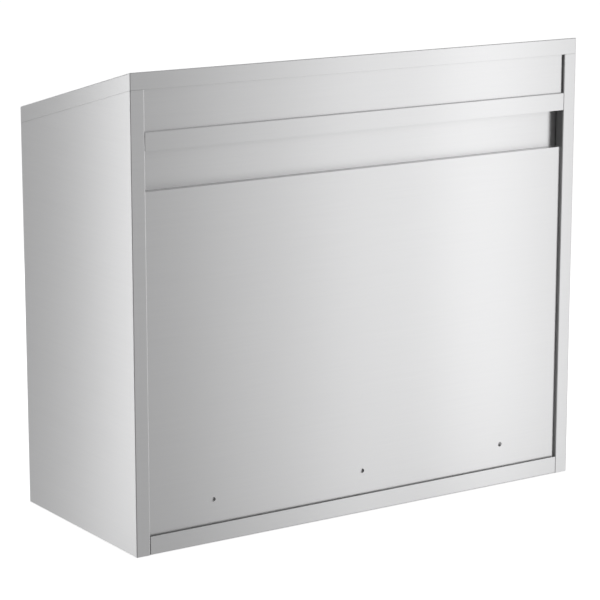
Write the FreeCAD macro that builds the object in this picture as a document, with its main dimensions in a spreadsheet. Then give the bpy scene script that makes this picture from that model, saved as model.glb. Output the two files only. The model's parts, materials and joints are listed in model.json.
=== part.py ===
import FreeCAD, Part
import math
import os
import Sketcher

# Wall-hung stainless cabinet with a sloping roof, two glazed doors and two UV-C tubes.
# Frame: X to the right seen from the front, -Y out of the front, +Z up. The origin is on the wall
# plane, at the middle of the cabinet's bottom edge. Millimetres.

Vector = FreeCAD.Vector
doc = FreeCAD.newDocument("uv_cabinet")
sheet = doc.addObject("Spreadsheet::Sheet", "Sizes")
nodes = {}


class Size:
    """A length and the spreadsheet expression that it comes from."""

    def __init__(self, number, text):
        self.number = number
        self.text = text

    def join(self, other, sign, number):
        return Size(number, f"({self.text} {sign} {as_size(other).text})")

    def __add__(self, other):
        return self.join(other, "+", self.number + as_size(other).number)

    def __sub__(self, other):
        return self.join(other, "-", self.number - as_size(other).number)

    def __mul__(self, other):
        return self.join(other, "*", self.number * as_size(other).number)

    def __truediv__(self, other):
        return self.join(other, "/", self.number / as_size(other).number)

    def __radd__(self, other):
        return as_size(other) + self

    def __rsub__(self, other):
        return as_size(other) - self

    def __rmul__(self, other):
        return as_size(other) * self

    def __neg__(self):
        return Size(-self.number, f"(-{self.text})")


def as_size(value):
    return value if isinstance(value, Size) else Size(float(value), f"({float(value):.6f})")


def driving(name, number):
    """One driving dimension: a cell with an alias."""
    row = driving.row = getattr(driving, "row", 0) + 1
    sheet.set(f"A{row}", name)
    sheet.set(f"B{row}", str(number))
    sheet.setAlias(f"B{row}", name)
    return Size(float(number), f"Sizes.{name}")


# ---- driving dimensions -------------------------------------------------------------------------
width = driving("width", 914.4)
depth = driving("depth", 381.0)
rear_height = driving("rear_height", 803.0)
front_height = driving("front_height", 705.5)
gauge = driving("gauge", 1.2)
bend = driving("bend", 1.8)                       # outside radius of a fold
seam = driving("seam", 0.3)                       # gap between two fitted sheets
skirt = driving("skirt", 28.5)                    # height of the roof's turned-down edge
stile = driving("stile", 26.2)                    # width of the folded corner posts
rear_return = driving("rear_return", 19.1)
front_return = driving("front_return", 26.0)
stop = driving("stop", 8.0)                       # lip that the doors close against
end_gap = driving("end_gap", 0.4)                 # between the rails and the posts
panel_recess = driving("panel_recess", 5.7)
upper_recess = driving("upper_recess", 4.9)
rail_bottom = driving("rail_bottom", 675.0)
rail_top = driving("rail_top", 706.0)
slot_floor = driving("slot_floor", 608.0)
channel_depth = driving("channel_depth", 20.4)
channel_top = driving("channel_top", 730.0)
base_rail = driving("base_rail", 31.5)
wall_hole = driving("wall_hole", 4.0)             # radius
wall_pitch = driving("wall_pitch", 304.8)
wall_height = driving("wall_height", 73.5)
fascia_bottom = driving("fascia_bottom", 592.0)
ceiling = driving("ceiling", 588.0)
door_depth = driving("door_depth", 20.0)
door_gap = driving("door_gap", 1.5)
window_margin = driving("window_margin", 56.0)
glass_thick = driving("glass_thick", 4.0)
seal_thick = driving("seal_thick", 5.7)
barrel = driving("barrel", 3.2)                   # hinge barrel radius
hinge_tall = driving("hinge_tall", 60.0)
hinge_pin = driving("hinge_pin", 1.55)            # radius
shelf_half = driving("shelf_half", 421.0)
tube_radius = driving("tube_radius", 13.0)
tube_length = driving("tube_length", 580.0)
tube_level = driving("tube_level", 564.0)
handle_reach = driving("handle_reach", 34.0)
handle_rod = driving("handle_rod", 6.0)           # radius
doc.recompute()

half = width / 2
inner_half = half - gauge                         # inner face of the side panels
post = half - stile                               # edge of the corner posts
stop_face = front_return - depth                  # front face of the door stops
front_top = front_height - skirt - seam
panel_half = post - seam
axis_x = post - door_gap * 0.4                    # hinge axis
axis_y = -depth - barrel
hinge_levels = (130, 490)
fall = (rear_height - front_height) / depth       # the roof drops this much for each step forwards
inlet_y, inlet_z, fuse_y = 130, 650, 180          # in the left side panel, behind the fascia
controls_z = fascia_bottom + 42
knob_x, lamp_x, rocker_x, vent_x = 260, 312, 350, -390
rocker_tilt = 9.0
rocker_wide, rocker_tall = 19, 28                 # body of the rocker switch
wire_way_x, wire_way_y, wire_way = 330, -190, 7   # holes for the lamp cables
tray_front, tray_rear = 60 - depth, -45
mullion_half, mullion_rear = 12, stop_face + 18
catch_level = fascia_bottom - stop - 14
catch_x, switch_x = 60, 110
pilaster_rows, pilaster_deep = (-95, -285), 20
shelf_levels = (210, 370)
tube_mid_y = -190
tube_rows = (tube_mid_y + 35, tube_mid_y - 35)
cap_long, pin_long, pin_spacing = 14, 7, 6.35     # end caps of the tubes
leaf_thick = 1.5


# ---- helpers ------------------------------------------------------------------------------------
def bind(item, path, value):
    item.setExpression(path, as_size(value).text)


def new_body(name):
    """One sheet-metal or moulded piece, built from sketches."""
    body = doc.addObject("PartDesign::Body", name)
    body.Label = name
    nodes[name] = body
    return body


def origin_plane(body, role):
    return next(item for item in body.Origin.OriginFeatures if item.Role == role)


def new_sketch(body, role, offset=0):
    sketch = body.newObject("Sketcher::SketchObject", "sketch")
    sketch.AttachmentSupport = [(origin_plane(body, role), "")]
    sketch.MapMode = "FlatFace"
    bind(sketch, "AttachmentOffset.Base.z", offset)
    return sketch


def constrain(sketch, kind, *where, value):
    """A dimension between the sketch origin, or a circle, and a bound size."""
    value = as_size(value)
    number = sketch.addConstraint(Sketcher.Constraint(kind, *where, value.number))
    sketch.setExpression(f"Constraints[{number}]", value.text)


def outline(sketch, points):
    """A closed straight-sided outline whose every corner is bound to the sheet."""
    points = [(as_size(x), as_size(y)) for x, y in points]
    corners = [Vector(x.number, y.number, 0) for x, y in points]
    first = sketch.GeometryCount
    count = len(points)
    for i in range(count):
        sketch.addGeometry(Part.LineSegment(corners[i], corners[(i + 1) % count]), False)
    for i in range(count):
        sketch.addConstraint(Sketcher.Constraint("Coincident", first + i, 2, first + (i + 1) % count, 1))
    for i, (x, y) in enumerate(points):
        constrain(sketch, "DistanceX", -1, 1, first + i, 1, value=x)
        constrain(sketch, "DistanceY", -1, 1, first + i, 1, value=y)


def rectangle(sketch, x0, y0, x1, y1):
    outline(sketch, [(x0, y0), (x1, y0), (x1, y1), (x0, y1)])


def octagon(sketch, x0, y0, x1, y1, corner):
    """A rectangle with its corners cut off."""
    outline(sketch, [(x0 + corner, y0), (x1 - corner, y0), (x1, y0 + corner), (x1, y1 - corner),
                     (x1 - corner, y1), (x0 + corner, y1), (x0, y1 - corner), (x0, y0 + corner)])


def circle(sketch, x, y, radius):
    x, y, radius = as_size(x), as_size(y), as_size(radius)
    centre = Vector(x.number, y.number, 0)
    index = sketch.addGeometry(Part.Circle(centre, Vector(0, 0, 1), radius.number), False)
    constrain(sketch, "DistanceX", -1, 1, index, 3, value=x)
    constrain(sketch, "DistanceY", -1, 1, index, 3, value=y)
    constrain(sketch, "Radius", index, value=radius)


def extrude(body, kind, sketch, length, symmetric=False, reverse=False):
    feature = body.newObject(f"PartDesign::{kind}", kind.lower())
    feature.Profile = sketch
    bind(feature, "Length", length)
    feature.SideType = "Symmetric" if symmetric else "One side"
    feature.Reversed = reverse
    return feature


def pad(body, sketch, length, **options):
    return extrude(body, "Pad", sketch, length, **options)


def pocket(body, sketch, length, **options):
    """A cut that has to take something away."""
    doc.recompute()
    before = body.Shape.Volume
    extrude(body, "Pocket", sketch, length, **options)
    doc.recompute()
    if body.Shape.Volume > before - 1e-3:
        raise RuntimeError(f"a pocket in {body.Label} cuts nothing")


def round_edges(body, radius, along, places):
    """Fold radii: the edges along one axis that pass through the given places on the other two."""
    doc.recompute()
    base = body.Tip
    others = [i for i in range(3) if i != "XYZ".index(along)]
    wanted = [[as_size(value).number for value in place] for place in places]
    names = []
    for number, edge in enumerate(base.Shape.Edges, 1):
        box = edge.BoundBox
        spans = (box.XLength, box.YLength, box.ZLength)
        middle = edge.CenterOfMass
        if max(spans[i] for i in others) > 1e-4:
            continue
        if any(math.dist([middle[i] for i in others], place) < 0.02 for place in wanted):
            names.append(f"Edge{number}")
    if not names:
        raise RuntimeError(f"no edge to round in {body.Label}")
    feature = body.newObject("PartDesign::Fillet", "fold")
    feature.Base = (base, names)
    bind(feature, "Radius", radius)


def round_middles(body, radius, middles):
    """Fold radii that meet at corners: the edges whose middles are at the given points."""
    doc.recompute()
    base = body.Tip
    wanted = [Vector(*[as_size(value).number for value in middle]) for middle in middles]
    names = [f"Edge{number}" for number, edge in enumerate(base.Shape.Edges, 1)
             if any(edge.CenterOfMass.distanceToPoint(point) < 0.05 for point in wanted)]
    if len(names) != len(wanted):
        raise RuntimeError(f"{len(names)} of {len(wanted)} edges found in {body.Label}")
    feature = body.newObject("PartDesign::Fillet", "fold")
    feature.Base = (base, names)
    bind(feature, "Radius", radius)


def mirror(body, features, role="YZ_Plane"):
    feature = body.newObject("PartDesign::Mirrored", "mirror")
    feature.Originals = features
    feature.MirrorPlane = (origin_plane(body, role), [""])
    body.Tip = feature


TURN = {"Z": FreeCAD.Rotation(), "X": FreeCAD.Rotation(Vector(0, 1, 0), 90),
        "Y": FreeCAD.Rotation(Vector(1, 0, 0), -90)}


def place(item, at, turn=None):
    item.Placement = FreeCAD.Placement(Vector(*[as_size(value).number for value in at]),
                                       turn or FreeCAD.Rotation())
    for letter, value in zip("xyz", at):
        bind(item, f"Placement.Base.{letter}", value)
    return item


def block(low, high):
    """A box between two corners."""
    item = doc.addObject("Part::Box", "block")
    for name, a, b in zip(("Length", "Width", "Height"), low, high):
        bind(item, name, as_size(b) - a)
    return place(item, low)


def rod(start, along, length, radius):
    """A cylinder from a point along +X, +Y or +Z."""
    item = doc.addObject("Part::Cylinder", "rod")
    bind(item, "Radius", radius)
    bind(item, "Height", length)
    return place(item, start, TURN[along])


def boolean(kind, items):
    item = doc.addObject(f"Part::{kind}", kind.lower())
    if kind == "Cut":
        item.Base, item.Tool = items
    elif kind == "Compound":
        item.Links = items
    else:
        item.Shapes = items
    return item


def fuse(*items):
    return boolean("MultiFuse", list(items)) if len(items) > 1 else items[0]


def cut(base, *tools):
    return boolean("Cut", [base, fuse(*tools)])


def node(name, *items):
    """One node: a piece, or a group of identical separate pieces."""
    item = items[0] if len(items) == 1 else boolean("Compound", list(items))
    item.Label = name
    nodes[name] = item
    return item


def hand(side):
    """Name and sign of a side: the right side, seen from the front, is +X."""
    return ("left", -1) if side < 0 else ("right", 1)


# ---- casing -------------------------------------------------------------------------------------
def side_panel(side):
    """Side sheet folded into a rear post and into a front post with its door stop."""
    name, sign = hand(side)
    body = new_body(f"side_panel_{name}")
    x0, x1, x2, x3 = post * sign, (post + gauge) * sign, inner_half * sign, half * sign
    lip = (post - stop) * sign
    back = stop_face + gauge
    sketch = new_sketch(body, "XY_Plane")
    outline(sketch, [
        (x0, -rear_return), (x0, 0), (x3, 0), (x3, -depth), (x0, -depth), (x0, stop_face),
        (lip, stop_face), (lip, back), (x1, back), (x1, gauge - depth), (x2, gauge - depth),
        (x2, -gauge), (x1, -gauge), (x1, -rear_return)])
    top = rear_height - skirt - seam
    pad(body, sketch, top)
    slope = new_sketch(body, "YZ_Plane")
    above = top + gauge
    outline(slope, [(0, top), (-depth, front_top), (-depth, above), (0, above)])
    pocket(body, slope, width * 2, symmetric=True)
    if sign < 0:
        inlet_hole = new_sketch(body, "YZ_Plane", -half)
        reach_y, reach_z, fuse_radius = 14.2, 10.2, 6.2
        rectangle(inlet_hole, -inlet_y - reach_y, inlet_z - reach_z, -inlet_y + reach_y, inlet_z + reach_z)
        circle(inlet_hole, -fuse_y, inlet_z, fuse_radius)
        pocket(body, inlet_hole, gauge * 4, reverse=True)
    round_edges(body, bend, "Z", [(x0, 0), (x3, 0), (x3, -depth), (x0, -depth), (x1, back)])
    round_edges(body, bend - gauge, "Z", [(x1, -gauge), (x2, -gauge), (x2, gauge - depth),
                                          (x1, gauge - depth), (x0, stop_face)])


def roof_panel():
    """Sloping cap: one sheet with all four edges turned down."""
    body = new_body("roof_panel")
    sketch = new_sketch(body, "YZ_Plane")
    outline(sketch, [(0, rear_height), (-depth, front_height), (-depth, front_height - skirt),
                     (0, rear_height - skirt)])
    pad(body, sketch, width, symmetric=True)
    hollow = new_sketch(body, "YZ_Plane")
    outline(hollow, [(-gauge, rear_height - gauge * (1 + fall)),
                     (gauge - depth, front_height - gauge * (1 - fall)),
                     (gauge - depth, front_height - skirt * 2), (-gauge, rear_height - skirt * 2)])
    pocket(body, hollow, width - gauge * 2, symmetric=True)
    middles = [(0, 0, rear_height), (0, -depth, front_height)]
    for sign in (-1, 1):
        middles += [(half * sign, -depth / 2, (rear_height + front_height) / 2),
                    (half * sign, 0, rear_height - skirt / 2),
                    (half * sign, -depth, front_height - skirt / 2)]
    round_middles(body, bend, middles)


def roof_joint_straps():
    """Two straps behind the seam between the side panels and the roof's skirt."""
    body = new_body("roof_joint_straps")
    sketch = new_sketch(body, "YZ_Plane", inner_half - gauge)
    rear, front, half_wide = 40, depth - 40, 12
    seam_rear = rear_height - skirt - fall * rear
    seam_front = rear_height - skirt - fall * front
    outline(sketch, [(-rear, seam_rear + half_wide), (-front, seam_front + half_wide),
                     (-front, seam_front - half_wide), (-rear, seam_rear - half_wide)])
    mirror(body, [pad(body, sketch, gauge)])


def bottom_pan():
    """Floor sheet folded up into the rear rail and the front rail with its door stop."""
    body = new_body("bottom_pan")
    sketch = new_sketch(body, "YZ_Plane")
    back = stop_face + gauge
    outline(sketch, [
        (0, base_rail), (0, 0), (-depth, 0), (-depth, base_rail), (stop_face, base_rail),
        (stop_face, base_rail + stop), (back, base_rail + stop), (back, base_rail - gauge),
        (gauge - depth, base_rail - gauge), (gauge - depth, gauge), (-gauge, gauge), (-gauge, base_rail)])
    pad(body, sketch, (post - end_gap) * 2, symmetric=True)
    wings = new_sketch(body, "XY_Plane")
    reach, gap = inner_half - seam, 2
    rectangle(wings, -reach, back + gap, reach, -rear_return - gap)
    pad(body, wings, gauge)
    flanges = new_sketch(body, "XY_Plane")
    for sign in (-1, 1):
        rectangle(flanges, (reach - gauge) * sign, back + gap, reach * sign, -rear_return - gap)
    pad(body, flanges, base_rail)
    round_edges(body, bend, "X", [(0, 0), (-depth, 0), (-depth, base_rail), (back, base_rail - gauge)])
    round_edges(body, bend - gauge, "X", [(-gauge, gauge), (gauge - depth, gauge),
                                          (gauge - depth, base_rail - gauge), (stop_face, base_rail)])
    notch_stop(body, base_rail, base_rail + stop + 1, -gauge)


def notch_stop(body, low, high, root):
    """Room in a door stop for the centre mullion, and at its ends for the stops of the posts."""
    notch = new_sketch(body, "XZ_Plane", -stop_face)
    reach = mullion_half + seam
    rectangle(notch, -reach, low, reach, high)
    tip = high if root.number < low.number else low
    for sign in (-1, 1):
        rectangle(notch, (post - stop - seam) * sign, root, (post + 1) * sign, tip)
    pocket(body, notch, bend * 4, symmetric=True)


def lower_back_panel():
    """Recessed rear sheet with its side flanges and three holes for the wall screws."""
    body = new_body("lower_back_panel")
    face, flange_wide, plain_edge, foot_deep, foot_inset = -panel_recess, 11, 20, 20, 6
    flange = face - flange_wide
    sketch = new_sketch(body, "XY_Plane", gauge)
    outline(sketch, [
        (-panel_half, flange), (-panel_half, face), (panel_half, face), (panel_half, flange),
        (panel_half - gauge, flange), (panel_half - gauge, face - gauge),
        (gauge - panel_half, face - gauge), (gauge - panel_half, flange)])
    pad(body, sketch, slot_floor - plain_edge - gauge)
    upper = new_sketch(body, "XZ_Plane", panel_recess)
    rectangle(upper, -panel_half, slot_floor - plain_edge, panel_half, slot_floor)
    pad(body, upper, gauge)
    foot = new_sketch(body, "XY_Plane", gauge)
    rectangle(foot, foot_inset - panel_half, face - foot_deep, panel_half - foot_inset, face)
    pad(body, foot, gauge)
    holes = new_sketch(body, "XZ_Plane", panel_recess)
    for step in (-1, 0, 1):
        circle(holes, wall_pitch * step, wall_height, wall_hole)
    pocket(body, holes, gauge * 4, symmetric=True)
    round_edges(body, gauge, "Z", [(panel_half, face), (-panel_half, face)])


def upper_back_panel():
    """Recessed sheet joggled out at its lower edge into the hanger rail."""
    body = new_body("upper_back_panel")
    sketch = new_sketch(body, "YZ_Plane")
    shelf_z = rear_height - skirt + 6
    lap_top = shelf_z + 12
    deep = -upper_recess
    outline(sketch, [
        (0, rail_bottom), (0, rail_top), (deep, rail_top), (deep, shelf_z), (-gauge, shelf_z),
        (-gauge, lap_top), (gauge * -2, lap_top), (gauge * -2, shelf_z + gauge),
        (deep - gauge, shelf_z + gauge), (deep - gauge, rail_top - gauge),
        (-gauge, rail_top - gauge), (-gauge, rail_bottom)])
    pad(body, sketch, panel_half * 2, symmetric=True)
    round_edges(body, bend, "X", [(0, rail_top), (deep - gauge, rail_top - gauge)])
    round_edges(body, bend - gauge, "X", [(-gauge, rail_top - gauge), (deep, rail_top)])


def hanger_channel():
    """Channel behind the hanger rail, which a wall bracket's hook goes up into. The corner posts close
    its ends, and its web passes behind them."""
    body = new_body("hanger_channel")
    sketch = new_sketch(body, "YZ_Plane")
    web, low, up = -channel_depth, -panel_recess - gauge, -upper_recess - gauge
    upper_lap, lower_lap = channel_top + 15, slot_floor - 16
    outline(sketch, [
        (low, slot_floor), (web, slot_floor), (web, channel_top), (up, channel_top),
        (up, upper_lap), (up - gauge, upper_lap), (up - gauge, channel_top + gauge),
        (web - gauge, channel_top + gauge), (web - gauge, slot_floor - gauge),
        (low - gauge, slot_floor - gauge), (low - gauge, lower_lap), (low, lower_lap)])
    pad(body, sketch, post * 2, symmetric=True)
    tabs, lap = new_sketch(body, "YZ_Plane"), 6
    rectangle(tabs, web - gauge, slot_floor + bend, web, channel_top - bend)
    pad(body, tabs, (post + lap) * 2, symmetric=True)
    round_edges(body, bend, "X", [(web - gauge, slot_floor - gauge), (web - gauge, channel_top + gauge),
                                  (low, slot_floor), (up, channel_top)])
    round_edges(body, bend - gauge, "X", [(web, slot_floor), (web, channel_top),
                                          (low - gauge, slot_floor - gauge),
                                          (up - gauge, channel_top + gauge)])


def ceiling_panel():
    """Top of the UV chamber, with side flanges, and floor of the electrical compartment."""
    body = new_body("ceiling_panel")
    reach = inner_half - seam
    front, rear = stop_face + gauge + 2, -rear_return - 2.4
    sketch = new_sketch(body, "XY_Plane", ceiling - gauge)
    notch_x, notch_y = mullion_half + seam, mullion_rear + seam
    outline(sketch, [
        (-reach, front), (-notch_x, front), (-notch_x, notch_y), (notch_x, notch_y), (notch_x, front),
        (reach, front), (reach, rear), (panel_half - gauge * 2, rear),
        (panel_half - gauge * 2, -panel_recess - gauge), (gauge * 2 - panel_half, -panel_recess - gauge),
        (gauge * 2 - panel_half, rear), (-reach, rear)])
    pad(body, sketch, gauge)
    flanges = new_sketch(body, "XY_Plane", ceiling)
    for sign in (-1, 1):
        rectangle(flanges, (reach - gauge) * sign, front, reach * sign, rear)
    flange_tall = 18
    pad(body, flanges, flange_tall, reverse=True)
    holes = new_sketch(body, "XY_Plane", ceiling)
    for sign in (-1, 1):
        circle(holes, wire_way_x * sign, wire_way_y, wire_way)
    pocket(body, holes, gauge * 4, symmetric=True)
    round_edges(body, gauge, "Y", [(reach, ceiling), (-reach, ceiling)])


def control_fascia():
    """Front panel over the doors, with the top door stop, vents and holes for the controls."""
    body = new_body("control_fascia")
    sketch = new_sketch(body, "YZ_Plane")
    face, back = -depth, stop_face + gauge
    lap_top = front_top + 15
    outline(sketch, [
        (face, fascia_bottom), (face, front_top), (face + gauge, front_top),
        (face + gauge, lap_top), (face + gauge * 2, lap_top),
        (face + gauge * 2, front_top - gauge), (face + gauge, front_top - gauge),
        (face + gauge, fascia_bottom + gauge), (back, fascia_bottom + gauge),
        (back, fascia_bottom - stop), (stop_face, fascia_bottom - stop), (stop_face, fascia_bottom)])
    pad(body, sketch, (post - end_gap) * 2, symmetric=True)
    holes = new_sketch(body, "XZ_Plane", depth)
    reach_x, reach_z, round_hole = rocker_wide / 2 + 0.2, rocker_tall / 2 + 0.2, 5.1
    rectangle(holes, rocker_x - reach_x, controls_z - reach_z, rocker_x + reach_x, controls_z + reach_z)
    circle(holes, lamp_x, controls_z, round_hole)
    circle(holes, knob_x, controls_z, round_hole)
    pocket(body, holes, gauge * 2)
    vents = new_sketch(body, "XZ_Plane", depth)
    vent_count, vent_pitch, vent_wide, vent_half = 12, 12, 4, 18
    for step in range(vent_count):
        x = vent_x + step * vent_pitch
        rectangle(vents, x, controls_z - vent_half, x + vent_wide, controls_z + vent_half)
    pocket(body, vents, gauge * 2)
    round_edges(body, bend, "X", [(face, fascia_bottom), (back, fascia_bottom + gauge)])
    round_edges(body, bend - gauge, "X", [(face + gauge, fascia_bottom + gauge),
                                          (stop_face, fascia_bottom)])
    notch_stop(body, fascia_bottom - stop - 1, fascia_bottom, fascia_bottom + bend * 2)


def centre_mullion():
    """Post that both doors close against."""
    body = new_body("centre_mullion")
    sketch = new_sketch(body, "XY_Plane", base_rail)
    wide, rear = mullion_half, mullion_rear
    outline(sketch, [
        (-wide, rear), (-wide, stop_face), (wide, stop_face), (wide, rear), (wide - gauge, rear),
        (wide - gauge, stop_face + gauge), (gauge - wide, stop_face + gauge), (gauge - wide, rear)])
    pad(body, sketch, fascia_bottom - base_rail)
    round_edges(body, bend, "Z", [(-wide, stop_face), (wide, stop_face)])
    round_edges(body, bend - gauge, "Z", [(gauge - wide, stop_face + gauge),
                                          (wide - gauge, stop_face + gauge)])


# ---- chamber ------------------------------------------------------------------------------------
def drip_tray():
    """Shallow tray with a flat rim and cut corners, which lies on the floor of the chamber."""
    body = new_body("drip_tray")
    wide, front, rear, tall, corner, lip = 400, tray_front, tray_rear, 22, 8, 7
    sketch = new_sketch(body, "XY_Plane", gauge)
    octagon(sketch, -wide, front, wide, rear, corner)
    pad(body, sketch, tall)
    rim = new_sketch(body, "XY_Plane", gauge + tall)
    octagon(rim, -wide - lip, front - lip, wide + lip, rear + lip, corner + 2)
    pad(body, rim, gauge)
    hollow = new_sketch(body, "XY_Plane", gauge * 2 + tall)
    inner_corner = corner - gauge * (2 - math.sqrt(2))
    octagon(hollow, gauge - wide, front + gauge, wide - gauge, rear - gauge, inner_corner)
    pocket(body, hollow, tall)


def shelf_pilasters():
    """Four slotted strips on the side walls that carry the shelf clips."""
    strips = []
    low, high, half_wide = base_rail + 12, ceiling - 30, 9
    slot_count, slot_pitch, slot_tall, slot_half = 16, 30, 12, 2
    for sign in (-1, 1):
        root, tip = inner_half * sign, (inner_half - pilaster_deep) * sign
        low_x, high_x = (tip, root) if sign > 0 else (root, tip)
        shift = gauge if sign > 0 else -gauge         # the open side is against the wall
        for y in pilaster_rows:
            strip = block((low_x, y - half_wide, low), (high_x, y + half_wide, high))
            hollow = block((low_x + shift, y - half_wide + gauge, low - 12),
                           (high_x + shift, y + half_wide - gauge, high + 30))
            slots = []
            for step in range(slot_count):
                z = base_rail + 40 + step * slot_pitch
                slots.append(block((low_x - 2, y - slot_half, z), (high_x + 2, y + slot_half, z + slot_tall)))
            strips.append(cut(strip, hollow, *slots))
    node("shelf_pilasters", *strips)


def shelf_clips():
    """Clips hooked on the pilasters, four under each shelf."""
    clips = []
    thick, half_wide, tall, wire = 1.6, 7, 24, 3
    for level in shelf_levels:
        for sign in (-1, 1):
            tip, root = (shelf_half - 14) * sign, (inner_half - pilaster_deep) * sign
            low_x, high_x = (tip, root) if sign > 0 else (root, tip)
            web_x = high_x - thick if sign > 0 else low_x
            for y in pilaster_rows:
                tread = block((low_x, y - half_wide, level - wire - thick),
                              (high_x, y + half_wide, level - wire))
                web = block((web_x, y - half_wide, level - tall),
                            (web_x + thick, y + half_wide, level - wire))
                clips.append(fuse(tread, web))
    node("shelf_clips", *clips)


def wire_shelf(level):
    """Welded wire rack: a rim of thick wire, bearers across it and thin wires over them."""
    front, rear = 66 - depth, -60
    rim, bearer, thin, thin_level = 3, 2.5, 1.6, level + 3.2
    wires = [rod((-shelf_half, y, level), "X", shelf_half * 2, rim) for y in (front, rear)]
    wires += [rod((shelf_half * sign, front - rim, level), "Y", rear - front + rim * 2, rim)
              for sign in (-1, 1)]
    wires += [rod((250 * step, front, level), "Y", rear - front, bearer) for step in (-1, 0, 1)]
    count = 12
    for step in range(1, count):
        y = front + (rear - front) / count * step
        wires.append(rod((-shelf_half, y, thin_level), "X", shelf_half * 2, thin))
    return fuse(*wires)


def lamp_reflector():
    """Folded bright sheet over the tubes."""
    body = new_body("lamp_reflector")
    sketch = new_sketch(body, "YZ_Plane")
    mid, top, low = tube_mid_y, ceiling - gauge, ceiling - gauge - 32
    flat_half, wing_half = 70, 105
    inner_flat, inner_wing = flat_half - 0.5, wing_half - 1.6
    outline(sketch, [
        (mid - flat_half, top), (mid + flat_half, top), (mid + wing_half, low), (mid + inner_wing, low),
        (mid + inner_flat, top - gauge), (mid - inner_flat, top - gauge), (mid - inner_wing, low),
        (mid - wing_half, low)])
    pad(body, sketch, tube_length + 110, symmetric=True)


def tube_set():
    """Two UV-C tubes with their metal caps, contact pins and lampholders."""
    glass, caps, holders = [], [], []
    mid, glass_wall, end_wall, shell_half = tube_length / 2, 1.0, 4, 12
    outer = tube_radius - 0.2
    glass_start, glass_long = cap_long - mid, tube_length - cap_long * 2
    for y in tube_rows:
        tube = rod((glass_start, y, tube_level), "X", glass_long, outer)
        inside = rod((glass_start + end_wall, y, tube_level), "X", glass_long - end_wall * 2,
                     outer - glass_wall)
        glass.append(cut(tube, inside))
        for sign in (-1, 1):
            cap_x = mid - cap_long if sign > 0 else -mid
            pin_x = mid if sign > 0 else -mid - pin_long
            start_x = mid - 2 if sign > 0 else -mid - pin_long
            spots = (-pin_spacing, pin_spacing)
            pins = [rod((start_x, y + spot, tube_level), "X", pin_long + 2, 1.2) for spot in spots]
            caps.append(fuse(rod((cap_x, y, tube_level), "X", cap_long, tube_radius), *pins))
            low_x = mid + 0.2 if sign > 0 else -mid - cap_long - 0.2
            shell = fuse(block((low_x, y - shell_half, tube_level),
                               (low_x + cap_long, y + shell_half, ceiling - gauge * 2)),
                         rod((low_x, y, tube_level), "X", cap_long, shell_half))
            sockets = [rod((pin_x - 1, y + spot, tube_level), "X", pin_long + 2.5, 1.6) for spot in spots]
            holders.append(cut(shell, *sockets))
    node("uv_tubes", *glass)
    node("tube_end_caps", *caps)
    node("lampholders", *holders)


def lamp_guard():
    """Wire grid that keeps tools and fingers off the tubes, and the four legs that it hangs on."""
    reach, level, wire, thin = tube_length / 2 + 40, tube_level - 30, 2, 1.2
    front, rear = tube_mid_y - 108, tube_mid_y + 108
    grid = [rod((-reach, y, level), "X", reach * 2, wire) for y in (front, rear)]
    grid += [rod((reach * sign, front, level), "Y", rear - front, wire) for sign in (-1, 1)]
    count = 16
    for step in range(1, count):
        grid.append(rod((reach * (2 * step / count - 1), front, level), "Y", rear - front, thin))
    grid += [rod((-reach, y, level), "X", reach * 2, thin) for y in tube_rows]
    legs = [rod((reach * sign, y, level + wire), "Z", ceiling - gauge - level - wire, wire)
            for sign in (-1, 1) for y in (front, rear)]
    node("lamp_guard", fuse(*grid), *legs)


# ---- electrical parts ---------------------------------------------------------------------------
def electrical_compartment():
    """Ballasts, starters and terminal block on top of the chamber."""
    ballasts, mid_y, core_half, foot_half = [], -210, 20, 15
    for x in (-250, -60):
        core = block((x, mid_y - core_half, ceiling), (x + 150, mid_y + core_half, ceiling + 28))
        foot = block((x - 15, mid_y - foot_half, ceiling), (x + 165, mid_y + foot_half, ceiling + 1.5))
        ballasts.append(fuse(core, foot))
    node("ballasts", *ballasts)
    starters, base = [], 8
    for x in (120, 160):
        can = rod((x, mid_y, ceiling + base), "Z", 36, 10.7)
        starters.append(fuse(can, rod((x, mid_y, ceiling), "Z", base, 13)))
    node("starters", *starters)
    strip_x, strip_y, strip_top, cell_pitch, cell_wide = -400, -225, ceiling + 6, 12, 10
    strip = block((strip_x, strip_y, ceiling), (strip_x + 70, strip_y + 22, strip_top))
    cells = [block((x, strip_y + 3, strip_top), (x + cell_wide, strip_y + 19, strip_top + 13))
             for x in range(strip_x + 1, strip_x + 1 + cell_pitch * 6, cell_pitch)]
    node("terminal_block", fuse(strip, *cells))


def cable(points, radius, bend_radius):
    """A held cable: straight runs joined by arcs."""
    points = [Vector(*[as_size(value).number for value in point]) for point in points]
    edges, start = [], points[0]
    for before, corner, after in zip(points, points[1:], points[2:]):
        inward = (before - corner).normalize()
        outward = (after - corner).normalize()
        angle = math.pi - inward.getAngle(outward)
        trim = bend_radius * math.tan(angle / 2)
        first, last = corner + inward * trim, corner + outward * trim
        bisector = (inward + outward).normalize()
        middle = corner + bisector * (bend_radius / math.cos(angle / 2) - bend_radius)
        edges += [Part.LineSegment(start, first).toShape(), Part.Arc(first, middle, last).toShape()]
        start = last
    edges.append(Part.LineSegment(start, points[-1]).toShape())
    wire = Part.Wire(edges)
    profile = Part.Wire([Part.Circle(points[0], points[1] - points[0], radius).toShape()])
    return wire.makePipeShell([profile], True, False)


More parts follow.
